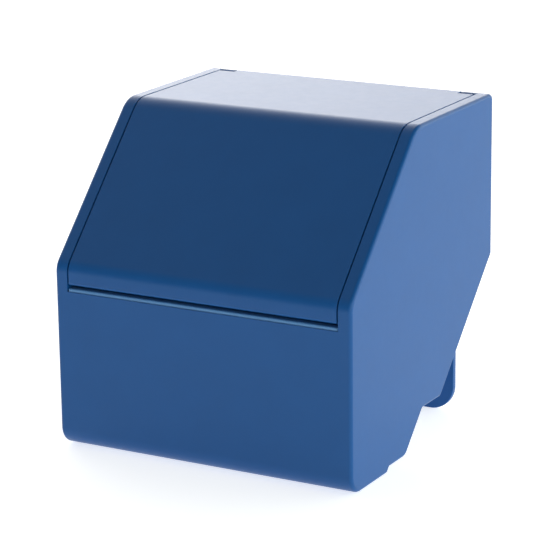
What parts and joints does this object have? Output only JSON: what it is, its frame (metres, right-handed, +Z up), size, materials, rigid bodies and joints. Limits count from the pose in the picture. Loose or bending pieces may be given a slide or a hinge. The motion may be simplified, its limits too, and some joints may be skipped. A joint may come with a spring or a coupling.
{
  "type": "direct injection box",
  "caption": "Compact direct injection box with a wrap-over hinged lid, sloped control deck beneath it, undercut belly and a rear connector plate that stands as the leg.",
  "frame": {"origin": "centre of the footprint at table level, on the vertical through the middle of the bounding box", "axes": "+Z up, +Y from the plain front wall towards the rear connectors, +X to the right seen from the front"},
  "size_m": [0.1, 0.0958, 0.101],
  "materials": {
    "blue_housing": "satin powder coat on a die casting",
    "blue_lid": "satin powder coat",
    "blue_plate": "satin powder coat on sheet steel",
    "deck_metal": "fine textured black",
    "rubber_black": "matt",
    "steel_zinc": "bright zinc plate",
    "steel_black": "black oxide",
    "nickel": "satin nickel plate",
    "brass_bush": "turned",
    "mu_metal": "drawn and annealed",
    "knob_black": "soft matt moulding",
    "pointer_white": "filled line",
    "plastic_black": "moulded",
    "button_grey": "moulded",
    "lamp_clear": "tinted lens",
    "gold_contact": "gold flash",
    "ferrite": "sintered",
    "copper_winding": "enamelled copper wire",
    "board_green": "solder mask",
    "cap_sleeve": "sleeve",
    "resistor_body": "lacquer",
    "wire_sleeve": "PVC insulation",
    "strip_blue": "moulded pale blue elastomer",
    "magnet_nickel": "nickel plate"
  },
  "bodies": {
    "chassis": {"housing": "blue_housing", "foot_pads": "rubber_black", "back_plate": "blue_plate", "back_plate_screws": "steel_black", "hinge_pin_left": "steel_zinc", "hinge_pin_right": "steel_zinc", "lid_gasket_left": "rubber_black", "lid_gasket_right": "rubber_black", "ledge_strip": "strip_blue", "control_deck": "deck_metal", "deck_screws": "steel_black", "board_post_screws": "steel_black", "catch_magnets": "magnet_nickel", "level_pot": "nickel", "level_nut": "nickel", "pad_switch": "nickel", "pad_nut": "nickel", "ground_lift_switch": "nickel", "ground_lift_nut": "nickel", "polarity_switch": "plastic_black", "lamp_bezel": "plastic_black", "lamp_lens": "lamp_clear", "xlr_shell": "nickel", "xlr_insert": "plastic_black", "xlr_pins": "gold_contact", "xlr_screws": "steel_zinc", "input_jack": "plastic_black", "input_jack_nut": "nickel", "thru_jack": "plastic_black", "thru_jack_nut": "nickel", "jack_contacts": "gold_contact", "transformer_mount": "steel_zinc", "transformer_can": "mu_metal", "transformer_core": "ferrite", "transformer_winding": "copper_winding", "transformer_screws": "steel_zinc", "board_posts": "brass_bush", "circuit_board": "board_green", "board_screws": "steel_zinc", "capacitors": "cap_sleeve", "resistors": "resistor_body", "amplifier_chip": "plastic_black", "board_header": "plastic_black", "output_wires": "wire_sleeve", "jack_wires": "wire_sleeve", "transformer_wires": "wire_sleeve"},
    "lid": {"lid": "blue_lid", "lid_strikes": "steel_zinc"},
    "level_knob": {"level_shaft": "brass_bush", "level_knob": "knob_black", "knob_pointer": "pointer_white"},
    "pad_lever": {"pad_lever": "nickel"},
    "ground_lift_lever": {"ground_lift_lever": "nickel"},
    "polarity_button": {"polarity_button": "button_grey"}
  },
  "joints": [
    {"name": "lid_hinge", "type": "hinge", "parent": "chassis", "child": "lid", "pos_m": [0, 0.0459, 0.099], "axis": [-1, 0, 0], "range_deg": [0, 100]},
    {"name": "level_turn", "type": "hinge", "parent": "chassis", "child": "level_knob", "pos_m": [0, -0.02246, 0.06372], "axis": [0, -0.7178, 0.6963], "range_deg": [-150, 150]},
    {"name": "pad_toggle", "type": "hinge", "parent": "chassis", "child": "pad_lever", "pos_m": [-0.028, -0.02632, 0.06189], "axis": [-1, 0, 0], "range_deg": [0, 24]},
    {"name": "ground_lift_toggle", "type": "hinge", "parent": "chassis", "child": "ground_lift_lever", "pos_m": [0.028, -0.02632, 0.06189], "axis": [-1, 0, 0], "range_deg": [0, 24]},
    {"name": "polarity_press", "type": "slide", "parent": "chassis", "child": "polarity_button", "axis": [0, 0.7178, -0.6963], "range_m": [0, 0.002], "stiffness_N_per_m": 250}
  ]
}
